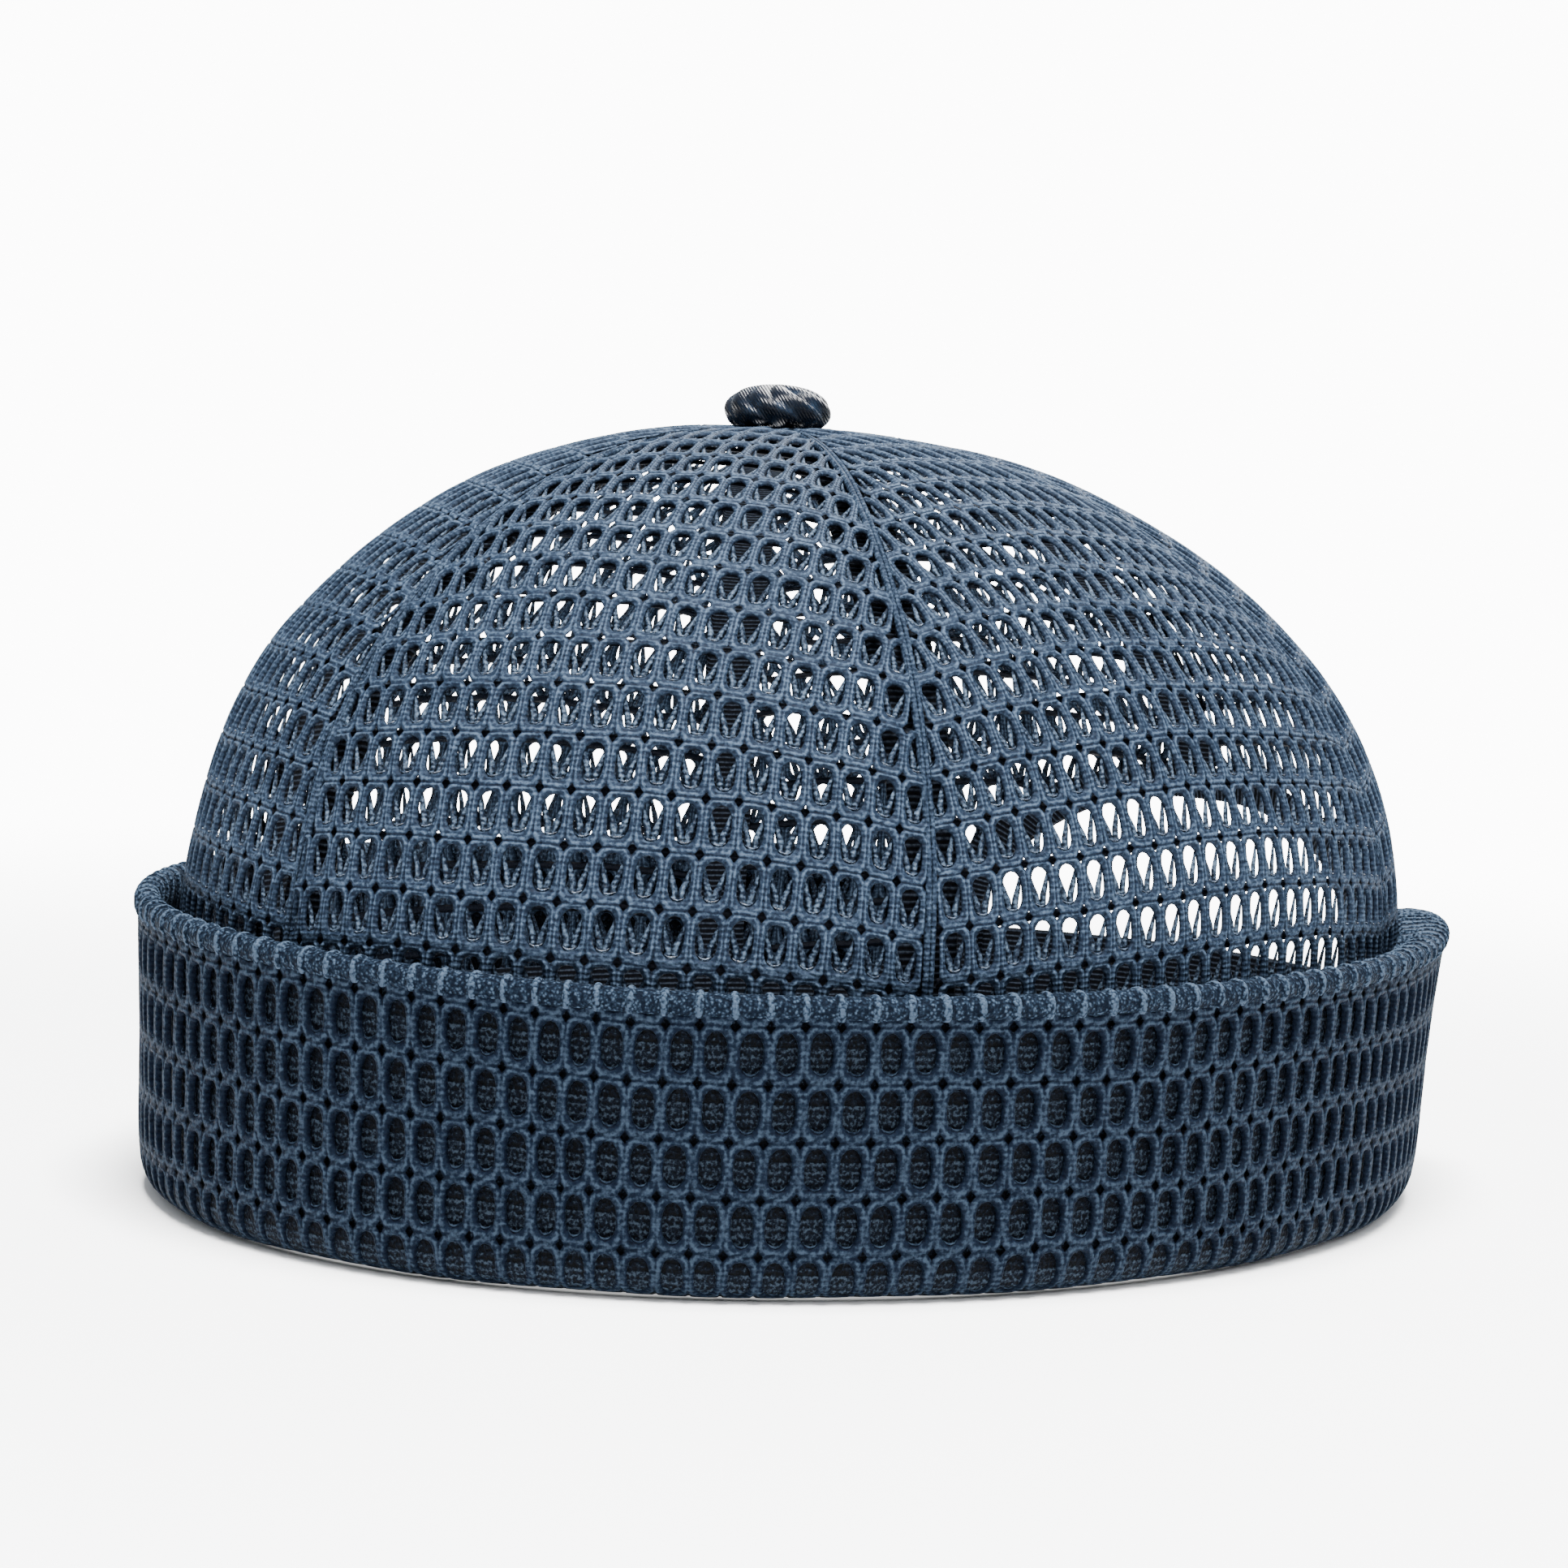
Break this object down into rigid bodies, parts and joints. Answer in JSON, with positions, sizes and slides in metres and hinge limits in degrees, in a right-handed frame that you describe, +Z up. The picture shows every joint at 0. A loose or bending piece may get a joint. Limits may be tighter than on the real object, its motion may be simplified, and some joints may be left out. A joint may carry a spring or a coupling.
{
  "type": "docker cap",
  "caption": "Brimless docker cap of open spacer-mesh knit with a domed panelled crown, covered top button, wide turned-up cuff and half-moon back opening.",
  "frame": {"origin": "middle of the cap's outline, on the surface that the fold of the cuff stands on", "axes": "+Z up towards the top button, -Y towards the front of the cap, +X towards the wearer's left"},
  "size_m": [0.1823, 0.2127, 0.1218],
  "materials": {
    "knit": "matt",
    "tape": "matt",
    "button": "satin"
  },
  "bodies": {
    "root": {"crown_panel_front_left": "knit", "crown_panel_side_left": "knit", "crown_panel_back_left": "knit", "crown_panel_back_right": "knit", "crown_panel_side_right": "knit", "crown_panel_front_right": "knit", "cuff": "knit", "back_strap": "knit", "seam_tape_front": "tape", "seam_tape_front_left": "tape", "seam_tape_back_left": "tape", "seam_tape_back": "tape", "seam_tape_back_right": "tape", "seam_tape_front_right": "tape", "opening_binding": "tape", "head_band": "tape", "top_button": "button"}
  },
  "joints": []
}
